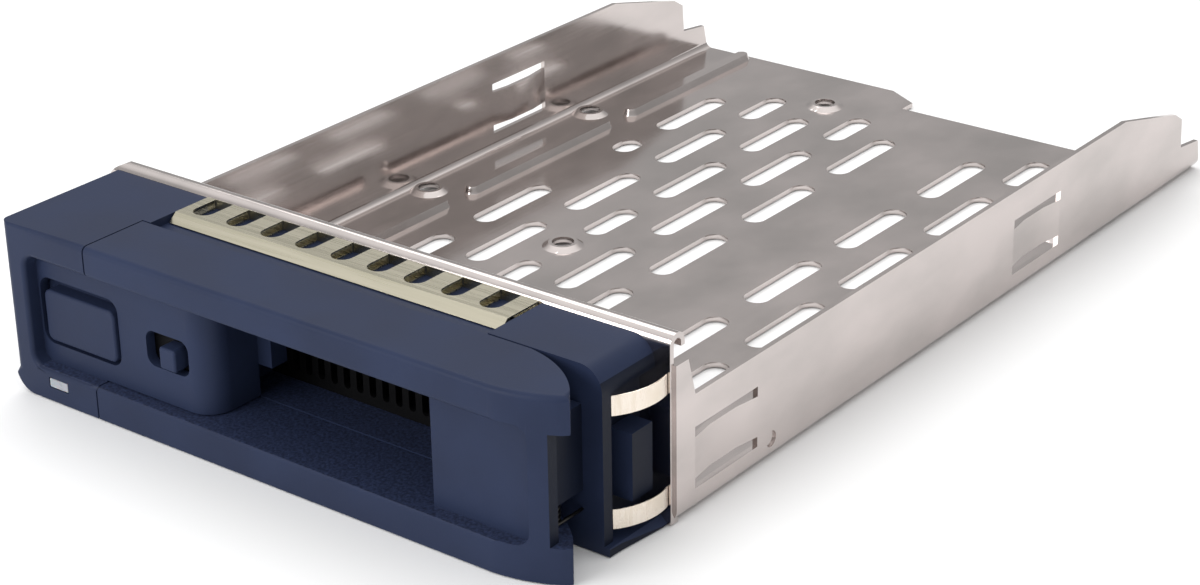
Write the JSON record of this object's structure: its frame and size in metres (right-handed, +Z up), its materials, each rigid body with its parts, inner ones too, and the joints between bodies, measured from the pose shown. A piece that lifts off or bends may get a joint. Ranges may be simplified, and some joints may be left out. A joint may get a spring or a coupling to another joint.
{
  "type": "hot-swap drive tray",
  "caption": "Shallow sheet-steel drive tray with slotted floor, low side walls and a moulded bezel with swing lever, push button, lock slider and spring contacts.",
  "frame": {"origin": "middle of the width, on the pan's underside at the front face of its front flange", "axes": "+X right as seen from the bezel, +Y from the bezel to the rear, +Z up"},
  "size_m": [0.1036, 0.1753, 0.0274],
  "materials": {
    "stainless": "bright rolled stainless steel",
    "navy_plastic": "fine grain moulded plastic",
    "black_plastic": "matt moulded plastic",
    "pin_steel": "zinc plated",
    "spring_steel": "drawn wire",
    "contact_steel": "bright spring steel, warm tint",
    "clear_plastic": "clear moulded"
  },
  "bodies": {
    "tray": {"tray_pan": "stainless", "bezel_housing": "navy_plastic", "lever_pin": "pin_steel", "lever_spring": "spring_steel", "button_spring": "spring_steel", "catch_spring": "spring_steel", "catch_guides": "pin_steel", "lock_detent": "spring_steel", "light_pipe": "clear_plastic", "mechanism_cover": "black_plastic", "cover_screws": "pin_steel", "bezel_screws": "pin_steel", "vent_grille": "black_plastic", "top_contact_strip": "contact_steel", "side_contact_upper": "contact_steel", "side_contact_lower": "contact_steel"},
    "lever": {"swing_lever": "navy_plastic"},
    "button": {"release_button": "navy_plastic"},
    "catch": {"release_catch": "black_plastic"},
    "lock": {"lock_bolt": "black_plastic", "lock_knob": "navy_plastic"}
  },
  "joints": [
    {"name": "lever_swing", "type": "hinge", "parent": "tray", "child": "lever", "pos_m": [0.0435, -0.0165, 0.01325], "axis": [0, 0, 1], "range_deg": [0, 60], "deforming": ["lever_spring"]},
    {"name": "button_press", "type": "slide", "parent": "tray", "child": "button", "axis": [0, 1, 0], "range_m": [0, 0.002], "stiffness_N_per_m": 400, "springref_m": -0.001, "deforming": ["button_spring"]},
    {"name": "catch_slide", "type": "slide", "parent": "tray", "child": "catch", "axis": [-1, 0, 0], "range_m": [0, 0.002], "stiffness_N_per_m": 200, "springref_m": -0.001, "deforming": ["catch_spring"]},
    {"name": "lock_slide", "type": "slide", "parent": "tray", "child": "lock", "axis": [-1, 0, 0], "range_m": [0, 0.003], "deforming": ["lock_detent"]}
  ],
  "couplings": [
    {"joint": "catch_slide", "follows": "button_press", "ratio": 1}
  ]
}
